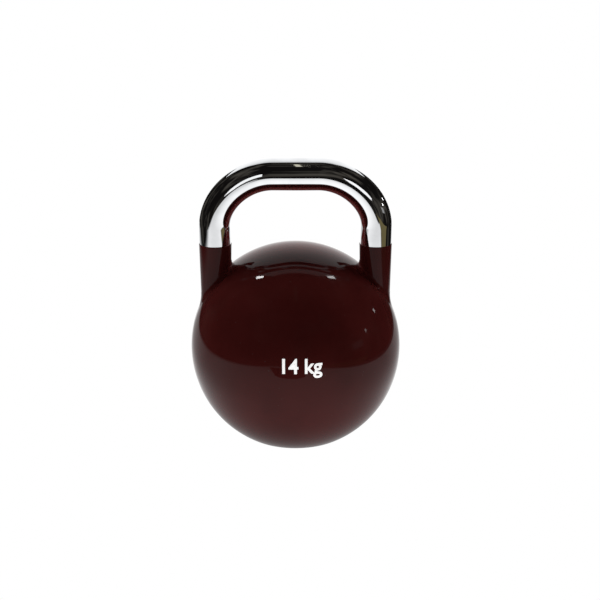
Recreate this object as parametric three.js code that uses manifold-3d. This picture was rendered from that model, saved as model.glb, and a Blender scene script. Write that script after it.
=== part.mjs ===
// A competition kettlebell: a hollow steel ball with a flat foot, two welded horns and a chromed
// bar for a handle. Cast-iron discs on a post inside the ball bring it to its rated 14 kg.
//
// Millimetres, +Z up. The foot stands on Z = 0, the ball is centred on the Z axis, the handle
// lies in the XZ plane, and the marked front of the ball faces -Y.

import * as THREE from 'three';
import { mergeVertices } from 'three/addons/utils/BufferGeometryUtils.js';
import Module from 'manifold-3d';

const wasm = await Module();
wasm.setup();

// ---- Driving dimensions --------------------------------------------------------------------

const TOTAL_HEIGHT = 280;
const BALL_RADIUS = 105;
const FOOT_RADIUS = 55; // where the ball's surface would meet the floor
const FOOT_EDGE_HEIGHT = 1.2; // bevel between the foot and the ball
const SHELL_WALL = 5;
const GAP = 0.3; // left between pieces that touch

const HANDLE_HALF_WIDTH = 78.6; // from the ball's axis to the centre of a leg
const BAR_CROWN_RADIUS = 16;
const BAR_LEG_RADIUS = 15.5;
const CROWN_HALF_LENGTH = 22; // straight part of the bar on each side of the middle
const CORNER_HEIGHT = 51;
const CORNER_PULL = 0.52; // how far each bend's control points reach along its tangents
const BAR_FOOT_HEIGHT = 196; // where chrome gives way to paint

const HORN_TOP_RADIUS = 16;
const HORN_FOOT_RADIUS = 15.2;
const HORN_TOP_BEVEL = 0.6;
const SPIGOT_RADIUS = 8;
const SPIGOT_IN_BAR = 16;
const SPIGOT_IN_HORN = 22;

const WELD_LEG = 5; // length of the fillet weld's leg on most of its way round
const WELD_OUTER_LEG = 9; // and on the outer side, where ball and horn run nearly together
const WELD_TOE = 0.4; // thickness at the weld's edges

const SEAM_HALF_WIDTH = 4; // of the weld groove, at the ball's surface
const SEAM_ROOT_HALF_WIDTH = 1.5;
const BACKING_RING_HALF_WIDTH = 12;
const BACKING_RING_THICKNESS = 4;

const FOOT_THICKNESS = 15;
const FOOT_RECESS_RADIUS = 32;
const FOOT_RECESS_DEPTH = 11.3;
const FOOT_HOLE_RADIUS = 24;

const BASE_PLATE_THICKNESS = 4;
const SCREW_RADIUS = 5;
const SCREW_LENGTH = 34;
const SCREW_HEAD_RADIUS = 9;
const SCREW_HEAD_HEIGHT = 4;
const SCREW_HEAD_DOME = 1.2;
const SOCKET_ACROSS_FLATS = 6;
const SOCKET_DEPTH = 2.6;
const SEAL_RADIUS = 11;
const SEAL_THICKNESS = 1.5;

const POST_RADIUS = 12;
const POST_STICK_OUT = 4; // above the nut
const SLEEVE_RADIUS = 31;
const SLEEVE_WALL = 5;
const DISC_COUNT = 4;
const DISC_RADIUS = 58;
const DISC_THICKNESS = 16.7; // brings the whole to 14 kg
const DISC_BEVEL = 1.5;
const RUBBER_WASHER_RADIUS = 40;
const RUBBER_WASHER_THICKNESS = 3;
const CLAMP_WASHER_RADIUS = 36;
const CLAMP_WASHER_THICKNESS = 4;
const NUT_ACROSS_FLATS = 36;
const NUT_HEIGHT = 19;

// ---- Worked out from them ------------------------------------------------------------------

const BALL_CENTRE = Math.sqrt(BALL_RADIUS ** 2 - FOOT_RADIUS ** 2);
const HOLLOW_RADIUS = BALL_RADIUS - SHELL_WALL;
const CROWN_HEIGHT = TOTAL_HEIGHT - BAR_CROWN_RADIUS;
const CORNER_START = CROWN_HEIGHT - CORNER_HEIGHT;
const HORN_TOP = BAR_FOOT_HEIGHT - GAP;
const HORN_BOTTOM = BALL_CENTRE + 0.3 * BALL_RADIUS; // before the ball cuts it away

const PLATE_TOP = FOOT_RECESS_DEPTH - GAP;
const PLATE_BOTTOM = PLATE_TOP - BASE_PLATE_THICKNESS;
const SEAL_BOTTOM = PLATE_BOTTOM - GAP - SEAL_THICKNESS;
const SCREW_HEAD_TOP = SEAL_BOTTOM - GAP;
const SCREW_HEAD_BOTTOM = SCREW_HEAD_TOP - SCREW_HEAD_HEIGHT;
const SCREW_TIP = SCREW_HEAD_TOP + SCREW_LENGTH;
const SCREW_HOLE_RADIUS = SCREW_RADIUS + GAP;
const POST_HOLE_RADIUS = POST_RADIUS + GAP;

const STACK_PITCH = DISC_THICKNESS + GAP;
const STACK_BOTTOM = BALL_CENTRE - (DISC_COUNT * STACK_PITCH - GAP) / 2;
const RUBBER_WASHER_BOTTOM = STACK_BOTTOM + DISC_COUNT * STACK_PITCH;
const CLAMP_WASHER_BOTTOM = RUBBER_WASHER_BOTTOM + RUBBER_WASHER_THICKNESS + GAP;
const NUT_BOTTOM = CLAMP_WASHER_BOTTOM + CLAMP_WASHER_THICKNESS + GAP;
const POST_TOP = NUT_BOTTOM + NUT_HEIGHT + POST_STICK_OUT;

// ---- Fineness of the facets ----------------------------------------------------------------

const BALL_SIDES = 48;
const BALL_ARC_STEPS = 14;
const HOLLOW_ARC_STEPS = 12;
const HORN_SIDES = 32;
const DISC_SIDES = 40;
const ROD_SIDES = 24;
const BAR_SIDES = 20;
const BAR_STEPS = 58;
const WELD_ARC_STEPS = 4;

// ---- Finishes ------------------------------------------------------------------------------

const finishes = {
  paint: { color: 0x3a0c0c, roughness: 0.12, metalness: 0 },
  chrome: { color: 0xd9dcde, roughness: 0.06, metalness: 1 },
  steel: { color: 0x8d9094, roughness: 0.4, metalness: 1 },
  iron: { color: 0x45474a, roughness: 0.8, metalness: 0.4 },
  rubber: { color: 0x161616, roughness: 0.85, metalness: 0 },
};

// ---- Helpers -------------------------------------------------------------------------------

const point = (x, y) => new THREE.Vector2(x, y);

/** Points on a circle arc in the (radius, height) half-plane; angles are measured up from level. */
function arc(radius, centreHeight, fromAngle, toAngle, steps) {
  return Array.from({ length: steps + 1 }, (_, step) => {
    const angle = fromAngle + ((toAngle - fromAngle) * step) / steps;
    return point(radius * Math.cos(angle), centreHeight + radius * Math.sin(angle));
  });
}

/** Turns an outline of (radius, height) points, listed anticlockwise, around the Z axis. */
function revolve(outline, sides) {
  return new THREE.LatheGeometry(outline, sides).rotateX(Math.PI / 2);
}

function rod(radius, bottom, top, sides = ROD_SIDES) {
  const outline = [point(0, bottom), point(radius, bottom), point(radius, top), point(0, top)];
  return revolve(outline, sides);
}

/** A flat ring, with its outer edges bevelled where a bevel is given. */
function ring(holeRadius, radius, bottom, top, sides = ROD_SIDES, bevel = 0) {
  const outer = bevel > 0
    ? [
        point(radius - bevel, bottom),
        point(radius, bottom + bevel),
        point(radius, top - bevel),
        point(radius - bevel, top),
      ]
    : [point(radius, bottom), point(radius, top)];
  const outline = [point(holeRadius, bottom), ...outer, point(holeRadius, top)];
  return revolve([...outline, outline[0]], sides);
}

/** A six-sided prism along Z. */
function hexagon(acrossFlats, bottom, top) {
  const corner = acrossFlats / 2 / Math.cos(Math.PI / 6);
  return rod(corner, bottom, top, 6);
}

function toSolid(geometry) {
  const bare = geometry.clone();
  bare.deleteAttribute('normal');
  bare.deleteAttribute('uv');
  const merged = mergeVertices(bare, 1e-4);
  const corners = merged.index.array;
  const triangles = [];
  for (let first = 0; first < corners.length; first += 3) {
    const [a, b, c] = corners.subarray(first, first + 3);
    if (a !== b && b !== c && c !== a) triangles.push(a, b, c);
  }
  return new wasm.Manifold(new wasm.Mesh({
    numProp: 3,
    vertProperties: new Float32Array(merged.attributes.position.array),
    triVerts: new Uint32Array(triangles),
  }));
}

function toGeometry(solid) {
  const { vertProperties, triVerts } = solid.getMesh();
  const geometry = new THREE.BufferGeometry();
  geometry.setAttribute('position', new THREE.BufferAttribute(vertProperties, 3));
  geometry.setIndex(new THREE.BufferAttribute(triVerts, 1));
  geometry.computeVertexNormals();
  return geometry;
}

/** Cuts each tool out of the body. */
function cut(body, ...tools) {
  return toGeometry(tools.reduce((solid, tool) => solid.subtract(toSolid(tool)), toSolid(body)));
}

const kettlebell = new THREE.Group();

function addPiece(name, finish, geometry, x = 0) {
  const mesh = new THREE.Mesh(geometry, new THREE.MeshStandardMaterial(finishes[finish]));
  mesh.name = name;
  mesh.position.x = x;
  kettlebell.add(mesh);
}

// ---- Ball ----------------------------------------------------------------------------------

/** Angle above the ball's centre at which a sphere of that radius reaches the given height. */
const angleAt = (radius, height) => Math.asin((height - BALL_CENTRE) / radius);

function upperShell() {
  const outerRim = angleAt(BALL_RADIUS, BALL_CENTRE + SEAM_HALF_WIDTH);
  const innerRim = angleAt(HOLLOW_RADIUS, BALL_CENTRE + SEAM_ROOT_HALF_WIDTH);
  const inside = arc(HOLLOW_RADIUS, BALL_CENTRE, Math.PI / 2, innerRim, HOLLOW_ARC_STEPS);
  const outside = arc(BALL_RADIUS, BALL_CENTRE, outerRim, Math.PI / 2, BALL_ARC_STEPS);
  return revolve([...inside, ...outside], BALL_SIDES);
}

function lowerShell() {
  const footEdge = angleAt(BALL_RADIUS, FOOT_EDGE_HEIGHT);
  const outerRim = angleAt(BALL_RADIUS, BALL_CENTRE - SEAM_HALF_WIDTH);
  const innerRim = angleAt(HOLLOW_RADIUS, BALL_CENTRE - SEAM_ROOT_HALF_WIDTH);
  const innerFoot = angleAt(HOLLOW_RADIUS, FOOT_THICKNESS);
  const outline = [
    point(FOOT_RECESS_RADIUS, 0),
    point(FOOT_RADIUS - FOOT_EDGE_HEIGHT, 0),
    ...arc(BALL_RADIUS, BALL_CENTRE, footEdge, outerRim, BALL_ARC_STEPS),
    ...arc(HOLLOW_RADIUS, BALL_CENTRE, innerRim, innerFoot, HOLLOW_ARC_STEPS),
    point(FOOT_HOLE_RADIUS, FOOT_THICKNESS),
    point(FOOT_HOLE_RADIUS, FOOT_RECESS_DEPTH),
    point(FOOT_RECESS_RADIUS, FOOT_RECESS_DEPTH),
  ];
  return revolve([...outline, outline[0]], BALL_SIDES);
}

/** The weld that fills the groove between the shells, ground flush with the ball. */
function seamWeld() {
  const face = Math.asin((SEAM_HALF_WIDTH - GAP) / BALL_RADIUS);
  const rootRadius = HOLLOW_RADIUS + GAP;
  const rootHalfWidth = SEAM_ROOT_HALF_WIDTH - GAP;
  const outline = [
    point(rootRadius, BALL_CENTRE - rootHalfWidth),
    ...arc(BALL_RADIUS, BALL_CENTRE, -face, face, 2),
    point(rootRadius, BALL_CENTRE + rootHalfWidth),
  ];
  return revolve([...outline, outline[0]], BALL_SIDES);
}

/** The strip inside the ball that lines the shells up and backs their weld. */
function seamBackingRing() {
  const radius = HOLLOW_RADIUS - GAP;
  const end = Math.asin(BACKING_RING_HALF_WIDTH / radius);
  const inner = radius - BACKING_RING_THICKNESS;
  const outline = [
    point(inner, BALL_CENTRE - BACKING_RING_HALF_WIDTH),
    ...arc(radius, BALL_CENTRE, -end, end, 4),
    point(inner, BALL_CENTRE + BACKING_RING_HALF_WIDTH),
  ];
  return revolve([...outline, outline[0]], BALL_SIDES);
}

addPiece('upper_shell', 'paint', upperShell());
addPiece('lower_shell', 'paint', lowerShell());
addPiece('seam_weld', 'paint', seamWeld());
addPiece('seam_backing_ring', 'steel', seamBackingRing());

// ---- Handle --------------------------------------------------------------------------------

/** The bar's centre line: leg, bend, straight crown, bend, leg. */
function barPath() {
  const at = (x, z) => new THREE.Vector3(x, 0, z);
  const side = (sign) => {
    const legX = sign * HANDLE_HALF_WIDTH;
    const crownX = sign * CROWN_HALF_LENGTH;
    return [
      at(legX, BAR_FOOT_HEIGHT),
      at(legX, CORNER_START),
      at(legX, CORNER_START + CORNER_PULL * CORNER_HEIGHT),
      at(crownX + CORNER_PULL * (legX - crownX), CROWN_HEIGHT),
      at(crownX, CROWN_HEIGHT),
    ];
  };
  const [footL, bendL, pullLowL, pullHighL, crownL] = side(-1);
  const [footR, bendR, pullLowR, pullHighR, crownR] = side(1);
  const path = new THREE.CurvePath();
  path.add(new THREE.LineCurve3(footL, bendL));
  path.add(new THREE.CubicBezierCurve3(bendL, pullLowL, pullHighL, crownL));
  path.add(new THREE.LineCurve3(crownL, crownR));
  path.add(new THREE.CubicBezierCurve3(crownR, pullHighR, pullLowR, bendR));
  path.add(new THREE.LineCurve3(bendR, footR));
  return path;
}

/** Eases the bar from its full radius at the crown to its smaller radius at the legs. */
function slimTowardsLegs(geometry, path) {
  const centres = path.getSpacedPoints(BAR_STEPS);
  const positions = geometry.attributes.position;
  const vertex = new THREE.Vector3();
  for (let index = 0; index < positions.count; index += 1) {
    vertex.fromBufferAttribute(positions, index);
    const centre = centres.reduce((nearest, candidate) => (
      candidate.distanceTo(vertex) < nearest.distanceTo(vertex) ? candidate : nearest));
    const fullness = Math.cos((Math.PI / 2) * Math.abs(centre.x) / HANDLE_HALF_WIDTH) ** 2;
    const radius = THREE.MathUtils.lerp(BAR_LEG_RADIUS, BAR_CROWN_RADIUS, fullness);
    vertex.sub(centre).multiplyScalar(radius / BAR_CROWN_RADIUS).add(centre);
    positions.setXYZ(index, vertex.x, vertex.y, vertex.z);
  }
  return geometry;
}

function handleBar() {
  const section = new THREE.Shape(Array.from({ length: BAR_SIDES }, (_, side) => {
    const angle = (2 * Math.PI * side) / BAR_SIDES;
    return point(BAR_CROWN_RADIUS * Math.cos(angle), BAR_CROWN_RADIUS * Math.sin(angle));
  }));
  const extrudePath = barPath();
  const bar = new THREE.ExtrudeGeometry(section, { steps: BAR_STEPS, extrudePath });
  const bores = [-1, 1].map((sign) => (
    rod(SPIGOT_RADIUS + GAP, BAR_FOOT_HEIGHT - GAP, BAR_FOOT_HEIGHT + SPIGOT_IN_BAR)
      .translate(sign * HANDLE_HALF_WIDTH, 0, 0)));
  return cut(slimTowardsLegs(bar, extrudePath), ...bores);
}

/** The horn's radius at a height. */
function hornWall(height) {
  const share = (height - HORN_BOTTOM) / (HORN_TOP - HORN_TOP_BEVEL - HORN_BOTTOM);
  return THREE.MathUtils.lerp(HORN_FOOT_RADIUS, HORN_TOP_RADIUS, share);
}

/** A horn, on its own axis: a tapered stub whose foot is cut to sit on the ball. */
function horn(sign) {
  const outline = [
    point(0, HORN_BOTTOM),
    point(HORN_FOOT_RADIUS, HORN_BOTTOM),
    point(HORN_TOP_RADIUS, HORN_TOP - HORN_TOP_BEVEL),
    point(HORN_TOP_RADIUS - HORN_TOP_BEVEL, HORN_TOP),
    point(0, HORN_TOP),
  ];
  const ball = new THREE.SphereGeometry(BALL_RADIUS + GAP, BALL_SIDES, BALL_SIDES)
    .translate(-sign * HANDLE_HALF_WIDTH, 0, BALL_CENTRE);
  const bore = rod(SPIGOT_RADIUS + GAP, HORN_TOP - SPIGOT_IN_HORN, HORN_TOP + GAP);
  return cut(revolve(outline, HORN_SIDES), ball, bore);
}

/** The dowel that joins a leg of the bar to its horn. */
function spigot() {
  const bottom = HORN_TOP - SPIGOT_IN_HORN + GAP;
  return rod(SPIGOT_RADIUS, bottom, BAR_FOOT_HEIGHT + SPIGOT_IN_BAR - GAP);
}

/**
 * Section of a horn's fillet weld, in the upright plane that leaves the horn's axis at `angle`.
 * The plane cuts the ball in a circle, and the weld runs from the horn's wall to that circle.
 * Returns its corners as (distance from the horn's axis, height).
 */
function weldSection(sign, angle) {
  const outward = sign * Math.cos(angle);
  const leg = WELD_LEG + (WELD_OUTER_LEG - WELD_LEG) * Math.max(0, outward) ** 4;
  const centre = -HANDLE_HALF_WIDTH * outward;
  const offset = HANDLE_HALF_WIDTH * Math.sin(angle);
  const onBall = (turn, lift) => {
    const radius = Math.sqrt((BALL_RADIUS + lift) ** 2 - offset ** 2);
    return point(centre + radius * Math.sin(turn), BALL_CENTRE + radius * Math.cos(turn));
  };
  const circle = Math.sqrt((BALL_RADIUS + GAP) ** 2 - offset ** 2);
  const turnAt = (reach) => Math.asin((reach - centre) / circle);
  const nearRoot = onBall(turnAt(HORN_FOOT_RADIUS), GAP);
  const rootTurn = turnAt(hornWall(nearRoot.y) + GAP);
  const toeTurn = rootTurn + leg / circle;
  const root = onBall(rootTurn, GAP);
  const ballToe = onBall(toeTurn, GAP + WELD_TOE);
  const wall = hornWall(root.y + leg) + GAP;
  const wallToe = point(wall + WELD_TOE, root.y + leg);
  const meeting = point(wallToe.x, ballToe.y + (ballToe.x - wallToe.x) * Math.tan(toeTurn));
  const face = new THREE.QuadraticBezierCurve(ballToe, meeting, wallToe);
  return [root, onBall(toeTurn, GAP), ...face.getPoints(WELD_ARC_STEPS), point(wall, wallToe.y)];
}

/** The fillet weld around a horn's foot: a ring whose section changes as it goes round. */
function hornWeld(sign) {
  const corners = weldSection(sign, 0).length;
  const weld = new THREE.TorusGeometry(1, 0.5, corners, HORN_SIDES);
  const positions = weld.attributes.position;
  for (let corner = 0; corner <= corners; corner += 1) {
    for (let side = 0; side <= HORN_SIDES; side += 1) {
      const angle = (2 * Math.PI * (side % HORN_SIDES)) / HORN_SIDES;
      const { x: reach, y: height } = weldSection(sign, angle)[corner % corners];
      const index = corner * (HORN_SIDES + 1) + side;
      positions.setXYZ(index, reach * Math.cos(angle), reach * Math.sin(angle), height);
    }
  }
  weld.computeVertexNormals();
  return weld;
}

addPiece('handle_bar', 'chrome', handleBar());
for (const [name, sign] of [['left', -1], ['right', 1]]) {
  const legX = sign * HANDLE_HALF_WIDTH;
  addPiece(`${name}_horn`, 'paint', horn(sign), legX);
  addPiece(`${name}_horn_weld`, 'paint', hornWeld(sign), legX);
  addPiece(`${name}_spigot`, 'steel', spigot(), legX);
}

// ---- Base ----------------------------------------------------------------------------------

function baseScrew() {
  const outline = [
    point(0, SCREW_HEAD_BOTTOM),
    point(SCREW_HEAD_RADIUS - SCREW_HEAD_DOME, SCREW_HEAD_BOTTOM),
    point(SCREW_HEAD_RADIUS, SCREW_HEAD_BOTTOM + SCREW_HEAD_DOME),
    point(SCREW_HEAD_RADIUS, SCREW_HEAD_TOP),
    point(SCREW_RADIUS, SCREW_HEAD_TOP),
    point(SCREW_RADIUS, SCREW_TIP),
    point(0, SCREW_TIP),
  ];
  const socket = hexagon(SOCKET_ACROSS_FLATS, SCREW_HEAD_BOTTOM - 1, SCREW_HEAD_BOTTOM + SOCKET_DEPTH);
  return cut(revolve(outline, ROD_SIDES), socket);
}

const plateRadius = FOOT_RECESS_RADIUS - GAP;
addPiece('base_plate', 'steel', ring(SCREW_HOLE_RADIUS, plateRadius, PLATE_BOTTOM, PLATE_TOP, DISC_SIDES));
addPiece('base_screw', 'steel', baseScrew());
addPiece('screw_seal', 'rubber', ring(
  SCREW_HOLE_RADIUS, SEAL_RADIUS, SEAL_BOTTOM, SEAL_BOTTOM + SEAL_THICKNESS));

// ---- Ballast -------------------------------------------------------------------------------

/** The post that carries the discs, bored at its foot for the base screw. */
function centrePost() {
  const bottom = PLATE_TOP + GAP;
  const bore = rod(SCREW_HOLE_RADIUS, bottom - GAP, SCREW_TIP + GAP);
  return cut(rod(POST_RADIUS, bottom, POST_TOP), bore);
}

addPiece('centre_post', 'steel', centrePost());
addPiece('support_sleeve', 'steel', ring(
  SLEEVE_RADIUS - SLEEVE_WALL, SLEEVE_RADIUS, FOOT_THICKNESS + GAP, STACK_BOTTOM - GAP, DISC_SIDES));
for (let disc = 0; disc < DISC_COUNT; disc += 1) {
  const bottom = STACK_BOTTOM + disc * STACK_PITCH;
  addPiece(`ballast_disc_${disc + 1}`, 'iron', ring(
    POST_HOLE_RADIUS, DISC_RADIUS, bottom, bottom + DISC_THICKNESS, DISC_SIDES, DISC_BEVEL));
}
addPiece('rubber_washer', 'rubber', ring(POST_HOLE_RADIUS, RUBBER_WASHER_RADIUS,
  RUBBER_WASHER_BOTTOM, RUBBER_WASHER_BOTTOM + RUBBER_WASHER_THICKNESS));
addPiece('clamp_washer', 'steel', ring(POST_HOLE_RADIUS, CLAMP_WASHER_RADIUS,
  CLAMP_WASHER_BOTTOM, CLAMP_WASHER_BOTTOM + CLAMP_WASHER_THICKNESS));
addPiece('lock_nut', 'steel', cut(
  hexagon(NUT_ACROSS_FLATS, NUT_BOTTOM, NUT_BOTTOM + NUT_HEIGHT),
  rod(POST_HOLE_RADIUS, NUT_BOTTOM - 1, NUT_BOTTOM + NUT_HEIGHT + 1)));

export default kettlebell;
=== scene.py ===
"""The looks of a 14 kg competition kettlebell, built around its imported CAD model.

Metres, +Z up. The foot stands on Z = 0, the ball's axis is the Z axis, the handle lies in the XZ
plane and the marked front of the ball faces -Y.
"""

import logging
import math
from dataclasses import dataclass
from enum import Enum
from typing import Callable, Sequence

import bpy
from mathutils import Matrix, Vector


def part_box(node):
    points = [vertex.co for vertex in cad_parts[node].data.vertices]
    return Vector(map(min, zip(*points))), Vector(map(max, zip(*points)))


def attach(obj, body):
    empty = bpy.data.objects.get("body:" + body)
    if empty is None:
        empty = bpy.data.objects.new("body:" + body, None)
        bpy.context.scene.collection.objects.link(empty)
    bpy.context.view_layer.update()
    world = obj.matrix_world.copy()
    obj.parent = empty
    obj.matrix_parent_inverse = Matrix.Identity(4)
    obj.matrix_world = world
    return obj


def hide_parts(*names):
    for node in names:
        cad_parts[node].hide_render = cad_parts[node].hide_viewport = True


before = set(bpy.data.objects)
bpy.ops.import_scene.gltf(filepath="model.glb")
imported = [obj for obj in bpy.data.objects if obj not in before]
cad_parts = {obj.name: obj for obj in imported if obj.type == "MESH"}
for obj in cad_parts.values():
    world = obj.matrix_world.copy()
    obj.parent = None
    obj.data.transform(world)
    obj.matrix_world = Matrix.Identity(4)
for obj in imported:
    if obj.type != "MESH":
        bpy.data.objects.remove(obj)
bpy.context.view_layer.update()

LOG = logging.getLogger("kettlebell")
MM = 0.001
BODY = "root"
MERGE_DISTANCE = 0.001 * MM
SMOOTH_ANGLE = math.radians(32)
FULL_TURN = 2 * math.pi
RIGHT_ANGLE = 90  # degrees
HEXAGON = 6
THREAD_DEPTH = 0.55  # over the pitch
THREAD_ROWS = 8  # rows of vertices to each pitch

Piece = bpy.types.Object
Material = bpy.types.Material
Socket = bpy.types.NodeSocket
Colour = tuple[float, float, float]
Outline = list[tuple[float, float]]
Corner = tuple[float, float, float]
Plan = tuple[tuple[float, float], ...]

# The pieces of each material slot, for the lamps that shine on one finish only.
DRESSED: dict[str, list[Piece]] = {}


class Side(Enum):
    """The handle's two legs."""

    LEFT = -1
    RIGHT = 1

    @property
    def label(self) -> str:
        """The side's name as the nodes have it."""
        return self.name.lower()


# ---- Workshop: how meshes are made -----------------------------------------------------------


def pick(*pieces: Piece) -> None:
    """Selects only these pieces and makes the first one active.

    Args:
        pieces: The objects that the next operator works on.
    """
    bpy.ops.object.select_all(action="DESELECT")
    for piece in pieces:
        piece.select_set(True)
    bpy.context.view_layer.objects.active = pieces[0]


def edit(piece: Piece, work: Callable[[], None]) -> None:
    """Runs edit-mode work on one piece, with whatever its mesh has selected.

    Args:
        piece: The mesh object to edit.
        work: Calls the edit-mode operators.
    """
    pick(piece)
    bpy.ops.object.mode_set(mode="EDIT")
    work()
    bpy.ops.object.mode_set(mode="OBJECT")


def select_parts(piece: Piece, domain: str, wanted: Callable[[object], bool]) -> None:
    """Selects the vertices, edges or faces of a mesh that pass a test, and nothing else.

    Args:
        piece: The mesh object.
        domain: "VERT", "EDGE" or "FACE".
        wanted: The test, given each vertex, edge or polygon.
    """
    pick(piece)
    bpy.ops.object.mode_set(mode="EDIT")
    bpy.ops.mesh.select_mode(type=domain)
    bpy.ops.mesh.select_all(action="DESELECT")
    bpy.ops.object.mode_set(mode="OBJECT")
    mesh = piece.data
    parts = {"VERT": mesh.vertices, "EDGE": mesh.edges, "FACE": mesh.polygons}[domain]
    for part in parts:
        part.select = wanted(part)


def tidy_normals() -> None:
    """Merges doubled vertices of the edited mesh and turns its faces outwards."""
    bpy.ops.mesh.select_all(action="SELECT")
    bpy.ops.mesh.remove_doubles(threshold=MERGE_DISTANCE)
    bpy.ops.mesh.normals_make_consistent(inside=False)


def smooth(piece: Piece) -> None:
    """Shades a piece smooth, with its sharp edges kept."""
    pick(piece)
    bpy.ops.object.shade_smooth_by_angle(angle=SMOOTH_ANGLE)


def arc(radius: float, centre_height: float, start: float, end: float, steps: int) -> Outline:
    """Points on an arc around a centre on the axis.

    Args:
        radius: The arc's radius.
        centre_height: Height of its centre.
        start: First angle, from level, in radians.
        end: Last angle.
        steps: How many chords the arc has.

    Returns:
        (radius, height) points.
    """
    angles = [start + (end - start) * step / steps for step in range(steps + 1)]
    return [(radius * math.cos(a), centre_height + radius * math.sin(a)) for a in angles]


def bend(start: Vector, pull: Vector, end: Vector, steps: int) -> list[Vector]:
    """Points on the quadratic curve from start to end that leaves and arrives towards pull.

    Args:
        start: First point.
        pull: Where the tangents at both ends meet.
        end: Last point.
        steps: How many chords the curve has.

    Returns:
        The curve's points, both ends included.
    """
    shares = [step / steps for step in range(steps + 1)]
    return [start * (1 - s) ** 2 + pull * 2 * s * (1 - s) + end * s * s for s in shares]


def rounded(corners: Sequence[Corner], steps: int = 4) -> Outline:
    """Rounds the corners of an outline.

    Args:
        corners: (radius, height, fillet) of each corner; a fillet of 0 stays sharp.
        steps: How many chords each fillet has.

    Returns:
        (radius, height) points.
    """
    outline: Outline = []
    for index, (radius, height, fillet) in enumerate(corners):
        here = Vector((radius, height))
        if fillet == 0:
            outline.append((radius, height))
            continue
        before = (Vector(corners[index - 1][:2]) - here).normalized()
        after = (Vector(corners[(index + 1) % len(corners)][:2]) - here).normalized()
        half = before.angle(after) / 2
        centre = here + (before + after).normalized() * fillet / math.sin(half)
        reach = fillet / math.tan(half)
        first = here + before * reach - centre
        last = here + after * reach - centre
        for step in range(steps + 1):
            spoke = first.lerp(last, step / steps).normalized() * fillet
            outline.append(tuple(centre + spoke))
    return outline


def turned(name: str, outline: Outline, steps: int, axis_x: float = 0.0) -> Piece:
    """Turns an outline around an upright axis, as on a lathe.

    Args:
        name: The piece's name.
        outline: (radius, height) points. It closes on itself, or starts and ends on the axis.
        steps: How many segments the full turn has.
        axis_x: Where the axis crosses the X axis.

    Returns:
        The closed, smoothly shaded piece.
    """
    bpy.ops.object.select_all(action="DESELECT")
    bpy.ops.mesh.primitive_circle_add(vertices=len(outline))
    piece = bpy.context.object
    piece.name = name
    for vertex, (radius, height) in zip(piece.data.vertices, outline):
        vertex.co = (axis_x + radius, 0, height)
    on_axis = [radius < MERGE_DISTANCE for radius, _ in outline]
    if on_axis[0] and on_axis[-1]:
        select_parts(piece, "EDGE", lambda edge: all(on_axis[v] for v in edge.vertices))
        edit(piece, lambda: bpy.ops.mesh.delete(type="EDGE"))

    def spin() -> None:
        """Sweeps the whole outline once around."""
        bpy.ops.mesh.select_mode(type="VERT")
        bpy.ops.mesh.select_all(action="SELECT")
        bpy.ops.mesh.spin(steps=steps, angle=FULL_TURN, center=(axis_x, 0, 0), axis=(0, 0, 1))
        tidy_normals()

    edit(piece, spin)
    smooth(piece)
    return piece


def ring_section(hole: float, low: Vector, high: Vector, inner: float, outer: float,
                 steps: int = 4) -> Outline:
    """Section of a flat ring that fills a node's box.

    Args:
        hole: Radius of its hole.
        low: The box's lowest corner.
        high: The box's highest corner.
        inner: Fillet on the two edges at the hole.
        outer: Fillet on the two outer edges.
        steps: How many chords each fillet has.

    Returns:
        (radius, height) points.
    """
    corners = [(hole, low.z, inner), (high.x, low.z, outer), (high.x, high.z, outer), (hole, high.z, inner)]
    return rounded(corners, steps)


def hexagon_corner(flats: float) -> float:
    """Radius to a hexagon's corners, from the distance across its flats."""
    return flats / 2 / math.cos(math.pi / HEXAGON)


def hexagon_bar(flats: float, length: float, middle: float) -> Piece:
    """Makes an upright hexagon bar on the Z axis, to cut with.

    Args:
        flats: Distance across its flats.
        length: How long it is.
        middle: Height of its middle.

    Returns:
        The bar.
    """
    bpy.ops.object.select_all(action="DESELECT")
    bpy.ops.mesh.primitive_cylinder_add(
        vertices=HEXAGON, radius=hexagon_corner(flats), depth=length, location=(0, 0, middle))
    return bpy.context.object


def cut(piece: Piece, tool: Piece, operation: str = "DIFFERENCE") -> None:
    """Cuts a piece with another one, which is used up.

    Args:
        piece: What stays.
        tool: The cutter.
        operation: "DIFFERENCE", or "INTERSECT" to keep what both share.
    """
    modifier = piece.modifiers.new("cut", "BOOLEAN")
    modifier.operation = operation
    modifier.object = tool
    modifier.solver = "EXACT"
    pick(piece)
    bpy.ops.object.modifier_apply(modifier=modifier.name)
    bpy.data.objects.remove(tool)
    smooth(piece)


def exact_normals(piece: Piece, normal_at: Callable[[Vector], Vector | None]) -> None:
    """Gives faces the normals of the true surface that they stand for.

    Args:
        piece: A finished mesh.
        normal_at: The surface's normal at a point, or None for a point off that surface. A face
            takes exact normals only if all its corners are on the surface.
    """
    mesh = piece.data
    normals = [Vector(corner.vector) for corner in mesh.corner_normals]
    exact = [normal_at(vertex.co) for vertex in mesh.vertices]
    for polygon in mesh.polygons:
        if all(exact[vertex] is not None for vertex in polygon.vertices):
            for corner in polygon.loop_indices:
                normals[corner] = exact[mesh.loops[corner].vertex_index]
    mesh.normals_split_custom_set(normals)


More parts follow.
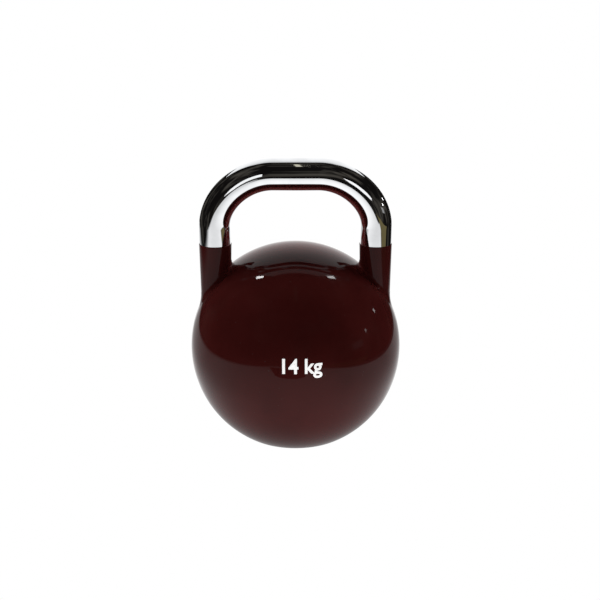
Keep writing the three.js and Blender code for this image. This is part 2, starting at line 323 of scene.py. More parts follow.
def cut_thread(piece: Piece, radius: float, pitch: float, low: float, high: float) -> None:
    """Forms a screw thread on a turned shank centred on the Z axis.

    Args:
        piece: A piece whose shank has several rows of vertices to each pitch.
        radius: The shank's radius, which becomes the thread's crest.
        pitch: Distance between crests.
        low: Where the thread starts.
        high: Where it ends.
    """
    depth = THREAD_DEPTH * pitch
    for vertex in piece.data.vertices:
        x, y, z = vertex.co
        reach = math.hypot(x, y)
        if abs(reach - radius) > MERGE_DISTANCE or not low < z < high:
            continue
        phase = (z / pitch - math.atan2(y, x) / FULL_TURN) % 1
        run_out = min(1.0, (z - low) / pitch, (high - z) / pitch)
        scale = (radius - depth * run_out * abs(2 * phase - 1)) / radius
        vertex.co = (x * scale, y * scale, z)
    smooth(piece)


def rows(low: float, high: float, spacing: float) -> list[float]:
    """Evenly spaced heights from low to high, about `spacing` apart."""
    count = math.ceil((high - low) / spacing)
    return [low + (high - low) * index / count for index in range(count + 1)]


def fit_out(piece: Piece, finish: Material, slot: str, *nodes: str) -> Piece:
    """Dresses a finished piece and ties it to the frame.

    Args:
        piece: The piece, in its place.
        finish: Its material.
        slot: The record's material slot that it takes its finish from.
        nodes: The CAD nodes that it stands for.

    Returns:
        The same piece.
    """
    piece.data.name = piece.name
    piece.data.materials.clear()
    piece.data.materials.append(finish)
    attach(piece, BODY)
    DRESSED.setdefault(slot, []).append(piece)
    if nodes:
        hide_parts(*nodes)
    LOG.info("%s: %d faces, %s", piece.name, len(piece.data.polygons), slot)
    return piece


# ---- Finishes --------------------------------------------------------------------------------


@dataclass(frozen=True)
class Cloud:
    """A patchy pattern: its lumps to the metre, its detail, and where a patch starts and is full."""

    lumps: float
    detail: float
    start: float
    full: float


class Board:
    """One material's nodes, wired up a step at a time."""

    def __init__(self, name: str) -> None:
        """Starts a material with its shader and its object coordinates.

        Args:
            name: The material's name.
        """
        self.material = bpy.data.materials.new(name)
        self.material.use_nodes = True
        self.tree = self.material.node_tree
        self.shader = self.tree.nodes["Principled BSDF"]
        self.place = self.add("ShaderNodeTexCoord").outputs["Object"]

    def add(self, kind: str, **settings: object) -> bpy.types.Node:
        """Adds a node and sets its properties.

        Args:
            kind: The node's type.
            settings: Its properties, by name.

        Returns:
            The new node.
        """
        node = self.tree.nodes.new(kind)
        for name, value in settings.items():
            setattr(node, name, value)
        return node

    def feed(self, node: bpy.types.Node, **values: object) -> bpy.types.Node:
        """Sets or links a node's inputs by name, with _ for a space.

        Args:
            node: The node.
            values: A socket to link, or a value to set, for each input.

        Returns:
            The same node.
        """
        for name, value in values.items():
            target = node.inputs[name.replace("_", " ")]
            if isinstance(value, bpy.types.NodeSocket):
                self.tree.links.new(value, target)
            else:
                target.default_value = value
        return node

    def noise(self, scale: float, detail: float = 2.0, place: Socket | None = None) -> Socket:
        """Cloudy noise from 0 to 1, with `scale` lumps to the metre.

        Args:
            scale: Lumps to the metre.
            detail: How many finer layers it has.
            place: The coordinates that it follows, or nothing for the object's own.

        Returns:
            A value from 0 to 1.
        """
        node = self.add("ShaderNodeTexNoise")
        self.feed(node, Vector=place or self.place, Scale=scale, Detail=detail)
        return node.outputs["Fac"]

    def spread(self, value: Socket, low: float, high: float, to_low: float, to_high: float) -> Socket:
        """Maps low..high smoothly to to_low..to_high, clamped.

        Args:
            value: What is mapped.
            low: The level that gives `to_low`.
            high: The level that gives `to_high`.
            to_low: The result at one end.
            to_high: The result at the other end.

        Returns:
            The mapped value.
        """
        node = self.add("ShaderNodeMapRange", interpolation_type="SMOOTHSTEP")
        self.feed(node, Value=value, From_Min=low, From_Max=high, To_Min=to_low, To_Max=to_high)
        return node.outputs["Result"]

    def cloud(self, cloud: Cloud, least: float = 0, most: float = 1) -> Socket:
        """Patches of a pattern, from `least` between them to `most` inside them."""
        return self.spread(self.noise(cloud.lumps, cloud.detail), cloud.start, cloud.full, least, most)

    def sum(self, first: Socket, second: Socket) -> Socket:
        """First plus second."""
        return self.combine("ADD", first, second)

    def combine(self, operation: str, first: Socket, second: Socket | float) -> Socket:
        """A Math node's result.

        Args:
            operation: The node's operation.
            first: Its first value.
            second: Its second value.

        Returns:
            The result.
        """
        node = self.add("ShaderNodeMath", operation=operation)
        self.tree.links.new(first, node.inputs[0])
        if isinstance(second, bpy.types.NodeSocket):
            self.tree.links.new(second, node.inputs[1])
        else:
            node.inputs[1].default_value = second
        return node.outputs[0]

    def mix(self, share: Socket, first: Socket | Colour, second: Socket | Colour) -> Socket:
        """Blends two colours; share 0 gives the first.

        Args:
            share: How much of the second colour shows.
            first: The colour at share 0.
            second: The colour at share 1.

        Returns:
            The blended colour.
        """
        node = self.add("ShaderNodeMix", data_type="RGBA")
        self.tree.links.new(share, node.inputs["Factor"])
        for name, colour in (("A", first), ("B", second)):
            target = next(s for s in node.inputs if s.name == name and s.type == "RGBA")
            if isinstance(colour, bpy.types.NodeSocket):
                self.tree.links.new(colour, target)
            else:
                target.default_value = (*colour, 1.0)
        return next(s for s in node.outputs if s.type == "RGBA")

    def bump(self, height: Socket, depth: float, under: Socket | None = None) -> Socket:
        """Raises the surface by up to `depth` metres, over another bump if one is given.

        Args:
            height: A pattern from 0 to 1.
            depth: How far the pattern rises, in metres.
            under: The surface that it lies on, if that is bumped too.

        Returns:
            The bumped surface.
        """
        node = self.add("ShaderNodeBump")
        self.feed(node, Height=height, Distance=depth, Strength=1.0)
        if under is not None:
            self.feed(node, Normal=under)
        return node.outputs["Normal"]

    def stretched(self, scale: Corner, centre: Corner = (0.0, 0.0, 0.0)) -> Socket:
        """Object coordinates about a centre, scaled along each axis.

        Args:
            scale: How far the pattern is drawn out along each axis.
            centre: What it is drawn out from.

        Returns:
            The coordinates.
        """
        node = self.add("ShaderNodeMapping", vector_type="TEXTURE")
        self.feed(node, Vector=self.place, Location=centre, Scale=scale)
        return node.outputs["Vector"]

    def height(self) -> Socket:
        """The height above the floor.

        Returns:
            The height in metres.
        """
        node = self.add("ShaderNodeSeparateXYZ")
        self.feed(node, Vector=self.place)
        return node.outputs["Z"]

    def around_axis(self, axis_x: float) -> Socket:
        """(distance from an upright axis, 0, height), in which lathe marks are straight lines.

        Args:
            axis_x: Where the axis crosses the X axis.

        Returns:
            The coordinates.
        """
        centred = self.add("ShaderNodeVectorMath", operation="SUBTRACT")
        self.tree.links.new(self.place, centred.inputs[0])
        centred.inputs[1].default_value = (axis_x, 0, 0)
        parts = self.feed(self.add("ShaderNodeSeparateXYZ"), Vector=centred.outputs[0])
        flat = self.feed(self.add("ShaderNodeCombineXYZ"), X=parts.outputs["X"], Y=parts.outputs["Y"])
        reach = self.add("ShaderNodeVectorMath", operation="LENGTH")
        self.tree.links.new(flat.outputs[0], reach.inputs[0])
        joined = self.add("ShaderNodeCombineXYZ")
        self.feed(joined, X=reach.outputs["Value"], Z=parts.outputs["Z"])
        return joined.outputs[0]


@dataclass(frozen=True)
class GlossEnamel:
    """Dark maroon enamel, sprayed and baked to a high gloss, rubbed through a little at the foot."""

    deep: Colour = (0.060, 0.0084, 0.0076)
    full: Colour = (0.075, 0.0110, 0.0100)
    primer: Colour = (0.085, 0.062, 0.058)
    specular: float = 0.115
    gloss: float = 0.035
    handled: float = 0.075
    shades: Cloud = Cloud(16, 4, 0.35, 0.65)
    specks: Cloud = Cloud(420, 1, 0.76, 0.80)
    speck_share: float = 0.5
    smudges: Cloud = Cloud(24, 5, 0.40, 0.75)
    wear: Cloud = Cloud(90, 5, 0.48, 0.60)
    wear_height: float = 3 * MM
    wear_roughness: float = 0.5
    peel_lumps: float = 260
    peel_depth: float = 0.0022 * MM
    sag_lumps: float = 22
    sag_depth: float = 0.06 * MM

    def material(self) -> Material:
        """Builds the enamel.

        Returns:
            The finished material.
        """
        board = Board("gloss_enamel")
        colour = board.mix(board.cloud(self.shades), self.deep, self.full)
        colour = board.mix(board.cloud(self.specks, 0, self.speck_share), colour, self.primer)
        low = board.spread(board.height(), 0, self.wear_height, 1, 0)
        worn = board.combine("MULTIPLY", low, board.cloud(self.wear))
        colour = board.mix(worn, colour, self.primer)
        smudges = board.cloud(self.smudges, self.gloss, self.handled)
        roughness = board.sum(smudges, board.combine("MULTIPLY", worn, self.wear_roughness))
        sag = board.bump(board.noise(self.sag_lumps, 1), self.sag_depth)
        peel = board.bump(board.noise(self.peel_lumps, 1), self.peel_depth, sag)
        board.feed(board.shader, Base_Color=colour, Roughness=roughness, Normal=peel)
        board.feed(board.shader, Specular_IOR_Level=self.specular)
        return board.material


@dataclass(frozen=True)
class PolishedChrome:
    """Bright chrome over a polished bar, with faint polishing lines and finger marks."""

    bright: Colour = (0.86, 0.87, 0.885)
    dull: Colour = (0.74, 0.75, 0.765)
    gloss: float = 0.025
    handled: float = 0.085
    dulling: Cloud = Cloud(35, 4, 0.35, 0.70)
    finger_marks: Cloud = Cloud(60, 5, 0.50, 0.78)
    wave_lumps: float = 30
    wave_depth: float = 0.018 * MM
    line_lumps: float = 900
    line_stretch: Corner = (14.0, 1.0, 1.0)
    line_levels: tuple[float, float] = (0.55, 0.75)
    line_roughness: float = 0.03
    line_depth: float = 0.00015 * MM

    def material(self) -> Material:
        """Builds the chrome.

        Returns:
            The finished material.
        """
        board = Board("polished_chrome")
        colour = board.mix(board.cloud(self.dulling), self.bright, self.dull)
        marks = board.cloud(self.finger_marks, self.gloss, self.handled)
        lines = board.noise(self.line_lumps, 2, board.stretched(self.line_stretch))
        roughness = board.sum(marks, board.spread(lines, *self.line_levels, 0, self.line_roughness))
        wave = board.bump(board.noise(self.wave_lumps, 1), self.wave_depth)
        surface = board.bump(lines, self.line_depth, wave)
        board.feed(board.shader, Base_Color=colour, Roughness=roughness, Normal=surface, Metallic=1.0)
        return board.material


@dataclass(frozen=True)
class TurnedSteel:
    """Bare steel with the fine rings that a lathe tool leaves, lightly oiled and stained."""

    axis_x: float = 0.0
    bright: Colour = (0.42, 0.43, 0.44)
    stained: Colour = (0.24, 0.225, 0.205)
    stain: Cloud = Cloud(70, 5, 0.45, 0.70)
    stain_roughness: float = 0.15
    ring_lumps: float = 1600
    ring_levels: tuple[float, float] = (0.3, 0.7)
    ring_roughness: tuple[float, float] = (0.26, 0.38)
    ring_depth: float = 0.012 * MM

    def material(self) -> Material:
        """Builds the steel.

        Returns:
            The finished material.
        """
        board = Board("turned_steel")
        rings = board.noise(self.ring_lumps, 3, board.around_axis(self.axis_x))
        stain = board.cloud(self.stain)
        colour = board.mix(stain, self.bright, self.stained)
        turned_face = board.spread(rings, *self.ring_levels, *self.ring_roughness)
        roughness = board.sum(turned_face, board.combine("MULTIPLY", stain, self.stain_roughness))
        surface = board.bump(rings, self.ring_depth)
        board.feed(board.shader, Base_Color=colour, Roughness=roughness, Normal=surface, Metallic=1.0)
        return board.material


@dataclass(frozen=True)
class CastIron:
    """Sand-cast iron, grey-black with a grainy skin and a little rust."""

    skin: Colour = (0.055, 0.056, 0.058)
    rust: Colour = (0.120, 0.052, 0.026)
    rusting: Cloud = Cloud(45, 6, 0.56, 0.72)
    rust_share: float = 0.8
    sand: Cloud = Cloud(180, 4, 0.3, 0.7)
    sand_roughness: tuple[float, float] = (0.55, 0.85)
    grain_lumps: float = 650
    grain_depth: float = 0.25 * MM
    metallic: float = 0.4

    def material(self) -> Material:
        """Builds the iron.

        Returns:
            The finished material.
        """
        board = Board("cast_iron")
        colour = board.mix(board.cloud(self.rusting, 0, self.rust_share), self.skin, self.rust)
        roughness = board.cloud(self.sand, *self.sand_roughness)
        grain = board.bump(board.noise(self.grain_lumps, 5), self.grain_depth)
        board.feed(board.shader, Base_Color=colour, Roughness=roughness, Normal=grain)
        board.feed(board.shader, Metallic=self.metallic)
        return board.material


@dataclass(frozen=True)
class SealRubber:
    """Black rubber, matt and finely pitted, with a grey bloom."""

    black: Colour = (0.010, 0.010, 0.011)
    bloom: Colour = (0.030, 0.030, 0.031)
    bloomed: Cloud = Cloud(120, 5, 0.4, 0.7)
    matt: Cloud = Cloud(300, 3, 0.3, 0.7)
    matt_roughness: tuple[float, float] = (0.65, 0.85)
    pit_lumps: float = 1500
    pit_depth: float = 0.03 * MM

    def material(self) -> Material:
        """Builds the rubber.

        Returns:
            The finished material.
        """
        board = Board("seal_rubber")
        colour = board.mix(board.cloud(self.bloomed), self.black, self.bloom)
        roughness = board.cloud(self.matt, *self.matt_roughness)
        pits = board.bump(board.noise(self.pit_lumps, 3), self.pit_depth)
        board.feed(board.shader, Base_Color=colour, Roughness=roughness, Normal=pits)
        return board.material


@dataclass(frozen=True)
class MarkPaint:
    """White screen-printed paint, a little uneven in cover, given a painted glow so that it looks white in
    dim light.
    """

    white: Colour = (0.92, 0.91, 0.90)
    thin: Colour = (0.78, 0.74, 0.73)
    cover: Cloud = Cloud(400, 4, 0.45, 0.75)
    satin: Cloud = Cloud(700, 3, 0.3, 0.7)
    satin_roughness: tuple[float, float] = (0.28, 0.42)
    ink_lumps: float = 1200
    ink_depth: float = 0.006 * MM
    # Strength of the painted glow: the print gives off light of its own, though it is no lamp.
    painted_glow: float = 0.60

    def material(self) -> Material:
        """Builds the paint.

        Returns:
            The finished material.
        """
        board = Board("mark_paint")
        colour = board.mix(board.cloud(self.cover), self.white, self.thin)
        roughness = board.cloud(self.satin, *self.satin_roughness)
        ink = board.bump(board.noise(self.ink_lumps, 2), self.ink_depth)
        board.feed(board.shader, Base_Color=colour, Roughness=roughness, Normal=ink)
        # Painted light: the print glows white, so that it stays bright where little light falls on it.
        board.feed(board.shader, Emission_Color=(1.0, 1.0, 1.0, 1.0), Emission_Strength=self.painted_glow)
        return board.material


# ---- Ball ------------------------------------------------------------------------------------


@dataclass
class Ball:
    """The hollow painted ball: two pressed shells and the flush weld between them."""

    radius: float
    centre: float
    wall: float = 5 * MM
    seam_half_width: float = 4 * MM
    seam_root_half_width: float = 1.5 * MM
    foot_edge: float = 1.2 * MM
    foot_thickness: float = 15 * MM
    recess_radius: float = 32 * MM
    recess_depth: float = 11.3 * MM
    hole_radius: float = 24 * MM
    edge_round: float = 0.8 * MM
    sides: int = 256
    outer_steps: int = 72
    inner_steps: int = 24
    edge_steps: int = 6

    @classmethod
    def from_frame(cls) -> "Ball":
        """Reads the ball's size and place from its upper shell."""
        _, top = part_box("upper_shell")
        return cls(radius=top.x, centre=top.z - top.x)

    @property
    def hollow(self) -> float:
        """Radius of the hollow inside."""
        return self.radius - self.wall

    def turn_at(self, radius: float, height: float) -> float:
        """Angle above level at which a sphere about the ball's centre reaches a height."""
        return math.asin((height - self.centre) / radius)

    def normal_at(self, point: Vector) -> Vector | None:
        """The ball's outward normal at a point on its outside, or None elsewhere."""
        spoke = point - Vector((0, 0, self.centre))
        return spoke.normalized() if abs(spoke.length - self.radius) < MERGE_DISTANCE else None

    def upper(self) -> Piece:
        """Builds the upper shell, down to the groove of its weld.

        Returns:
            The shell.
        """
        rim = self.turn_at(self.radius, self.centre + self.seam_half_width)
        inner_rim = self.turn_at(self.hollow, self.centre + self.seam_root_half_width)
        top = math.pi / 2
        outline = [
            *arc(self.hollow, self.centre, top, inner_rim, self.inner_steps),
            *arc(self.radius, self.centre, rim, top, self.outer_steps),
        ]
        return turned("ball_upper", outline, self.sides)

    def lower(self) -> Piece:
        """Builds the lower shell, with its thick foot, rounded rim and recess.

        Returns:
            The shell.
        """
        edge_turn = self.turn_at(self.radius, self.foot_edge)
        edge = Vector((self.radius * math.cos(edge_turn), self.foot_edge))
        along = Vector((math.sin(edge_turn), -math.cos(edge_turn)))
        pull = edge + along * (edge.y / -along.y)
        flat_end = Vector((pull.x - (pull - edge).length, 0))
        rim = self.turn_at(self.radius, self.centre - self.seam_half_width)
        inner_rim = self.turn_at(self.hollow, self.centre - self.seam_root_half_width)
        inner_foot = self.turn_at(self.hollow, self.foot_thickness)
        foot = [
            (self.hole_radius, self.foot_thickness, 0),
            (self.hole_radius, self.recess_depth, self.edge_round / 2),
            (self.recess_radius, self.recess_depth, 0),
            (self.recess_radius, 0, self.edge_round),
            (flat_end.x, 0, 0),
        ]
        outline = [
            *rounded(foot)[:-1],
            *[tuple(point) for point in bend(flat_end, pull, edge, self.edge_steps)[:-1]],
            *arc(self.radius, self.centre, edge_turn, rim, self.outer_steps),
            *arc(self.hollow, self.centre, inner_rim, inner_foot, self.inner_steps),
        ]
        return turned("ball_lower", outline, self.sides)

    def bead(self) -> Piece:
        """Builds the weld between the shells, ground flush.

        Returns:
            The weld.
        """
        face = math.asin(self.seam_half_width / self.radius)
        root = math.asin(self.seam_root_half_width / self.hollow)
        outline = [
            *arc(self.hollow, self.centre, -root, root, 2),
            *arc(self.radius, self.centre, face, -face, self.edge_steps),
        ]
        return turned("seam_bead", outline, self.sides)

    def build(self, enamel: Material) -> None:
        """Makes the ball's pieces and paints them.

        Args:
            enamel: The paint of the ball and the horns.
        """
        for piece, node in (
            (self.upper(), "upper_shell"),
            (self.lower(), "lower_shell"),
            (self.bead(), "seam_weld"),
        ):
            exact_normals(piece, self.normal_at)
            fit_out(piece, enamel, "body_paint", node)


# ---- Handle ----------------------------------------------------------------------------------


@dataclass
class Handle:
    """The chromed bar, the painted horns that it stands on, and their welds to the ball."""

    ball: Ball
    crown_top: float
    horn_top: float
    leg_x: float
    crown_radius: float = 16 * MM
    leg_radius: float = 15.5 * MM
    crown_half_length: float = 22 * MM
    corner_height: float = 51 * MM
    corner_pull: float = 0.52
    horn_top_radius: float = 16 * MM
    horn_foot_radius: float = 15.2 * MM
    horn_edge_round: float = 0.6 * MM
    bore_radius: float = 8.3 * MM
    bore_in_bar: float = 16 * MM
    bore_in_horn: float = 22 * MM
    weld_leg: float = 5 * MM
    weld_outer_leg: float = 9 * MM
    weld_widening: int = 4
    weld_root: float = 0.3 * MM
    horn_foot_level: float = 0.3
    foot_shares: tuple[float, ...] = (0.25, 0.5, 0.75)
    sides: int = 128
    curve_steps: int = 40
    round_steps: int = 26
    weld_steps: int = 16
    root_points: int = 3
    nudge: float = 0.02

    @classmethod
    def from_frame(cls, ball: Ball) -> "Handle":
        """Reads the handle's size and place from the bar and a horn.

        Args:
            ball: The ball that the handle stands on.

        Returns:
            The handle, not yet built.
        """
        _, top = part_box("handle_bar")
        _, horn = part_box("right_horn")
        return cls(ball, crown_top=top.z, horn_top=horn.z, leg_x=top.x - cls.leg_radius)

    def bar(self) -> Piece:
        """Builds the bent bar, a little fuller at the crown, with a bore for each spigot.

        Returns:
            The bar.
        """
        crown = self.crown_top - self.crown_radius
        bend_start = crown - self.corner_height
        foot_pull = (bend_start - self.horn_top) / 3
        crown_pull = self.crown_half_length / 3
        corner_up = self.corner_pull * self.corner_height
        corner_in = self.corner_pull * (self.leg_x - self.crown_half_length)
        shoulder = self.fullness(self.crown_half_length)
        # Each control point from foot to crown: x, height, radius, pull before it and pull after it.
        half = [
            (self.leg_x, self.horn_top, self.leg_radius, (0, foot_pull), (0, foot_pull)),
            (self.leg_x, bend_start, self.leg_radius, (0, foot_pull), (0, corner_up)),
            (self.crown_half_length, crown, shoulder, (corner_in, 0), (crown_pull, 0)),
        ]
        bpy.ops.object.select_all(action="DESELECT")
        bpy.ops.curve.primitive_bezier_curve_add()
        bar = bpy.context.object
        bar.name = "handle_bar_chromed"
        spline = bar.data.splines[0]
        spline.bezier_points.add(2 * len(half) + 1 - len(spline.bezier_points))
        last = len(spline.bezier_points) - 1
        for index, (x, z, radius, before, after) in enumerate(half):
            for sign, place in ((-1, index), (1, last - index)):
                spot = spline.bezier_points[place]
                self.set_spot(spot, Vector((sign * x, 0, z)), radius)
                back = Vector((sign * before[0], 0, -before[1]))
                ahead = Vector((-sign * after[0], 0, after[1]))
                spot.handle_left = spot.co + (back if sign < 0 else ahead)
                spot.handle_right = spot.co + (ahead if sign < 0 else back)
        middle = spline.bezier_points[len(half)]
        self.set_spot(middle, Vector((0, 0, crown)), self.crown_radius)
        reach = Vector((crown_pull, 0, 0))
        middle.handle_left = middle.co - reach
        middle.handle_right = middle.co + reach
        bar.data.dimensions = "3D"
        bar.data.resolution_u = self.curve_steps
        bar.data.bevel_depth = self.crown_radius
        bar.data.bevel_resolution = self.round_steps
        bar.data.use_fill_caps = True
        spline.radius_interpolation = "EASE"
        pick(bar)
        bpy.ops.object.convert(target="MESH")
        bar = bpy.context.object
        edit(bar, tidy_normals)
        for side in Side:
            self.bore(bar, side)
        smooth(bar)
        return bar

    def set_spot(self, spot: bpy.types.BezierSplinePoint, place: Vector, radius: float) -> None:
        """Places one control point of the bar's centre line and sets the bar's radius there.

        Args:
            spot: The control point.
            place: Where it goes.
            radius: The bar's radius there.
        """
        spot.handle_left_type = "FREE"
        spot.handle_right_type = "FREE"
        spot.co = place
        spot.radius = radius / self.crown_radius

    def fullness(self, x: float) -> float:
        """The bar's radius above a point on the X axis."""
        share = math.cos(math.pi / 2 * x / self.leg_x) ** 2
        return self.leg_radius + (self.crown_radius - self.leg_radius) * share

    def bore(self, bar: Piece, side: Side) -> None:
        """Bores the end of one leg for its spigot.

        Args:
            bar: The bar.
            side: Which of the two sides.
        """
        def at_end(face: bpy.types.MeshPolygon) -> bool:
            """Whether a face is the flat end of this leg."""
            low = abs(face.center.z - self.horn_top) < MERGE_DISTANCE
            return low and face.center.x * side.value > 0

        def sink() -> None:
            """Sets a circle into the end and pushes it up the leg."""
            bpy.ops.mesh.inset(thickness=self.leg_radius - self.bore_radius)
            bpy.ops.mesh.extrude_region_move(
                TRANSFORM_OT_translate={"value": (0, 0, self.bore_in_bar)})

        select_parts(bar, "FACE", at_end)
        edit(bar, sink)

    def horn(self, side: Side) -> Piece:
        """Builds one horn: a tapered stub, bored at its top, whose foot follows the ball.

        Args:
            side: Which of the two sides.

        Returns:
            The horn.
        """
        low = self.ball.centre + self.ball.radius * self.horn_foot_level
        floor = self.horn_top - self.bore_in_horn
        foot_rings = [self.horn_foot_radius * share for share in self.foot_shares]
        outline = [
            (0, low),
            *[(radius, low) for radius in foot_rings],
            *rounded(
                [
                    (self.horn_foot_radius, low, 0),
                    (self.horn_top_radius, self.horn_top, self.horn_edge_round),
                    (self.bore_radius, self.horn_top, self.horn_edge_round / 2),
                    (self.bore_radius, floor, 0),
                    (0, floor, 0),
                ]
            ),
        ]
        axis_x = side.value * self.leg_x
        horn = turned(f"{side.label}_horn_painted", outline, self.sides, axis_x)
        for vertex in horn.data.vertices:
            if vertex.co.z < low + MERGE_DISTANCE:
                flat = vertex.co.x**2 + vertex.co.y**2
                vertex.co.z = self.ball.centre + math.sqrt(self.ball.radius**2 - flat)
        smooth(horn)

        def wall_normal(point: Vector) -> Vector | None:
            """The normal of the horn's tapered wall at a point on it, or None elsewhere.

            Args:
                point: A point of the horn's mesh.

            Returns:
                A unit vector, or None.
            """
            spoke = Vector((point.x - axis_x, point.y, 0))
            on_rim = abs(spoke.length - self.horn_foot_radius) < MERGE_DISTANCE
            on_wall = abs(spoke.length - self.wall_at(point.z)) < 2 * MERGE_DISTANCE
            return spoke.normalized() if on_wall or on_rim else None

        exact_normals(horn, wall_normal)
        return horn

    def wall_at(self, height: float) -> float:
        """The horn's radius at a height.

        Args:
            height: A height above the floor.

        Returns:
            The radius.
        """
        low = self.ball.centre + self.ball.radius * self.horn_foot_level
        share = (height - low) / (self.horn_top - low)
        return self.horn_foot_radius + (self.horn_top_radius - self.horn_foot_radius) * share

    def weld_section(self, side: Side, angle: float) -> list[Vector]:
        """Section of a horn's weld in the upright plane that leaves the horn's axis at `angle`.

        The plane cuts the ball in a circle. The weld's face leaves that circle along its tangent
        and ends along the horn's wall, so both joins are smooth.

        Args:
            side: Which horn.
            angle: Direction of the plane, from +X.

        Returns:
            (distance from the horn's axis, height) of the face's points, from ball to horn, and
            of the three points at the weld's root.
        """
        outward = side.value * math.cos(angle)
        widening = max(0.0, outward) ** self.weld_widening
        leg = self.weld_leg + (self.weld_outer_leg - self.weld_leg) * widening
        middle = -self.leg_x * outward
        offset = self.leg_x * math.sin(angle)

        def on_ball(turn: float, sunk: float = 0.0) -> Vector:
            """A point of the plane on the ball, or sunk under its surface."""
            circle = math.sqrt((self.ball.radius - sunk) ** 2 - offset**2)
            return Vector((middle + circle * math.sin(turn), self.ball.centre + circle * math.cos(turn)))

        circle = math.sqrt(self.ball.radius**2 - offset**2)
        root_turn = math.asin((self.horn_foot_radius - middle) / circle)
        toe_turn = root_turn + leg / circle
        ball_toe = on_ball(toe_turn)
        top = on_ball(root_turn).y + leg
        wall_toe = Vector((self.wall_at(top), top))
        along_wall = Vector((self.wall_at(top + leg) - wall_toe.x, leg)).normalized()
        along_ball = Vector((-math.cos(toe_turn), math.sin(toe_turn)))
        gap = wall_toe - ball_toe
        reach = gap.cross(along_wall) / along_ball.cross(along_wall)
        face = bend(ball_toe, ball_toe + along_ball * reach, wall_toe, self.weld_steps)
        inside = Vector((self.weld_root, 0))
        root = on_ball(root_turn, self.weld_root) - inside
        return [*face, wall_toe - inside, root, on_ball(toe_turn, self.weld_root)]

    def weld(self, side: Side) -> Piece:
        """Builds the weld round one horn's foot, as a ring whose section changes on its way.

        Args:
            side: Which of the two sides.

        Returns:
            The weld.
        """
        points = self.weld_steps + 1 + self.root_points
        step = FULL_TURN / self.sides
        bpy.ops.object.select_all(action="DESELECT")
        bpy.ops.mesh.primitive_torus_add(major_segments=self.sides, minor_segments=points)
        weld = bpy.context.object
        weld.name = f"{side.label}_horn_fillet"
        face_normals: dict[int, Vector] = {}
        for place in range(self.sides):
            here = self.ring_points(side, step * place)
            nearby = self.ring_points(side, step * (place + self.nudge))
            for index, (point, beside) in enumerate(zip(here, nearby)):
                weld.data.vertices[place * points + index].co = point
                if index <= self.weld_steps:
                    ahead, behind = min(index + 1, self.weld_steps), max(index - 1, 0)
                    up = here[ahead] - here[behind]
                    face_normals[place * points + index] = (beside - point).cross(up).normalized()
        edit(weld, tidy_normals)
        smooth(weld)
        by_place = {self.key(weld.data.vertices[i].co): n for i, n in face_normals.items()}
        exact_normals(weld, lambda point: by_place.get(self.key(point)))
        return weld

    def ring_points(self, side: Side, angle: float) -> list[Vector]:
        """The weld section's points in space.

        Args:
            side: Which of the two sides.
            angle: Direction of the section from the axis of the horn.

        Returns:
            The points, in the order of the section.
        """
        centre = Vector((side.value * self.leg_x, 0, 0))
        outward = Vector((math.cos(angle), math.sin(angle), 0))
        section = self.weld_section(side, angle)
        return [centre + outward * point.x + Vector((0, 0, point.y)) for point in section]

    @staticmethod
    def key(point: Vector) -> tuple[int, int, int]:
        """A point's place to the nearest tenth of a micron."""
        return tuple(round(value / (MERGE_DISTANCE / 10)) for value in point)

    def build(self, enamel: Material, chrome: Material) -> None:
        """Makes the handle's pieces and dresses them.

        Args:
            enamel: The paint of the ball and the horns.
            chrome: The finish of the bar.
        """
        fit_out(self.bar(), chrome, "handle_chrome", "handle_bar")
        for side in Side:
            fit_out(self.horn(side), enamel, "body_paint", f"{side.label}_horn")
            fit_out(self.weld(side), enamel, "body_paint", f"{side.label}_horn_weld")


# ---- Weight mark -----------------------------------------------------------------------------


